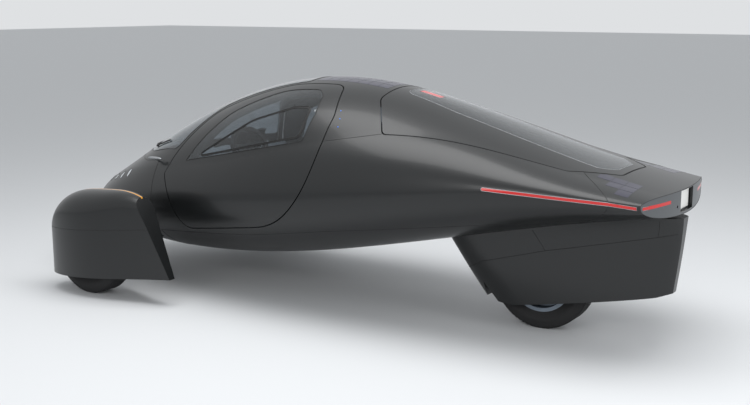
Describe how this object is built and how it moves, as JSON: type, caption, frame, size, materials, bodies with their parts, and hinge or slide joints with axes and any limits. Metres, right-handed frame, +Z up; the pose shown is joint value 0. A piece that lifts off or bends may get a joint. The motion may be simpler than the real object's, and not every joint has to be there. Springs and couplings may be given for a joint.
{
  "type": "three wheeled car",
  "caption": "Two-seat three wheeled car with a teardrop body, faired front wheels, a rear wheel in a spat, upward opening doors and a rear hatch.",
  "frame": {"origin": "on the ground under the middle of the car's length and width", "axes": "+X forward, +Y to the car's left, +Z up"},
  "size_m": [4.369, 2.2342, 1.4414],
  "materials": {
    "body_paint": "satin charcoal paint",
    "tail_paint": "satin grey paint",
    "glass": "tinted",
    "seal_rubber": "matte",
    "red_lamp": "clear red",
    "white_lamp": "clear",
    "amber_strip": "clear amber",
    "plate_white": "plain",
    "tyre": "moulded",
    "rim": "painted cast",
    "steel": "satin",
    "floor_carpet": "short pile",
    "dash_plastic": "moulded",
    "screen_gloss": "gloss",
    "seat_cloth": "woven",
    "battery_case": "plain"
  },
  "bodies": {
    "chassis": {"hood": "body_paint", "nose_lower": "body_paint", "belly": "body_paint", "side_left": "body_paint", "side_right": "body_paint", "roof_frame": "body_paint", "tail_cap": "tail_paint", "windshield": "glass", "tail_lamps": "red_lamp", "head_lamps": "white_lamp", "number_plate": "plate_white", "front_subframe": "steel", "wishbones_left": "steel", "wishbones_right": "steel", "swing_arm": "steel", "spat": "body_paint", "spat_cover_left": "body_paint", "spat_cover_right": "body_paint", "cabin_floor": "floor_carpet", "luggage_deck": "floor_carpet", "dashboard": "dash_plastic", "screen": "screen_gloss", "seat_left": "seat_cloth", "seat_right": "seat_cloth", "battery": "battery_case"},
    "hatch_lid": {"hatch": "body_paint", "hatch_glass": "glass", "stop_lamp": "red_lamp"},
    "door_left_side": {"door_left": "body_paint", "door_glass_left": "glass", "window_seal_left": "seal_rubber"},
    "door_right_side": {"door_right": "body_paint", "door_glass_right": "glass", "window_seal_right": "seal_rubber"},
    "steered_left": {"knuckle_left": "steel", "fairing_left": "body_paint", "fairing_strip_left": "amber_strip"},
    "steered_right": {"knuckle_right": "steel", "fairing_right": "body_paint", "fairing_strip_right": "amber_strip"},
    "wheel_left": {"tyre_front_left": "tyre", "rim_front_left": "rim"},
    "wheel_right": {"tyre_front_right": "tyre", "rim_front_right": "rim"},
    "wheel_rear": {"tyre_rear": "tyre", "rim_rear": "rim"},
    "hand_wheel": {"steering_wheel": "dash_plastic"}
  },
  "joints": [
    {"name": "door_left_hinge", "type": "hinge", "parent": "chassis", "child": "door_left_side", "pos_m": [1.185, 0.56, 0.96], "axis": [0.6017, 0.5014, -0.6217], "range_deg": [0, 70]},
    {"name": "door_right_hinge", "type": "hinge", "parent": "chassis", "child": "door_right_side", "pos_m": [1.185, -0.56, 0.96], "axis": [-0.6017, 0.5014, 0.6217], "range_deg": [0, 70]},
    {"name": "hatch_hinge", "type": "hinge", "parent": "chassis", "child": "hatch_lid", "pos_m": [-0.345, 0, 1.395], "axis": [0, 1, 0], "range_deg": [0, 55]},
    {"name": "steer_left", "type": "hinge", "parent": "chassis", "child": "steered_left", "pos_m": [1.507, 0.815, 0.32], "axis": [0, 0, 1], "range_deg": [-15, 15]},
    {"name": "steer_right", "type": "hinge", "parent": "chassis", "child": "steered_right", "pos_m": [1.507, -0.815, 0.32], "axis": [0, 0, 1], "range_deg": [-15, 15]},
    {"name": "spin_left", "type": "hinge", "parent": "steered_left", "child": "wheel_left", "pos_m": [1.507, 0.941, 0.31], "axis": [0, 1, 0], "continuous": true},
    {"name": "spin_right", "type": "hinge", "parent": "steered_right", "child": "wheel_right", "pos_m": [1.507, -0.941, 0.31], "axis": [0, 1, 0], "continuous": true},
    {"name": "spin_rear", "type": "hinge", "parent": "chassis", "child": "wheel_rear", "pos_m": [-1.356, 0, 0.31], "axis": [0, 1, 0], "continuous": true},
    {"name": "hand_wheel_turn", "type": "hinge", "parent": "chassis", "child": "hand_wheel", "pos_m": [0.64, 0.33, 0.985], "axis": [-0.9063, 0, 0.4226], "range_deg": [-180, 180]}
  ],
  "couplings": [
    {"joint": "steer_right", "follows": "steer_left", "ratio": 1},
    {"joint": "hand_wheel_turn", "follows": "steer_left", "ratio": 12}
  ]
}
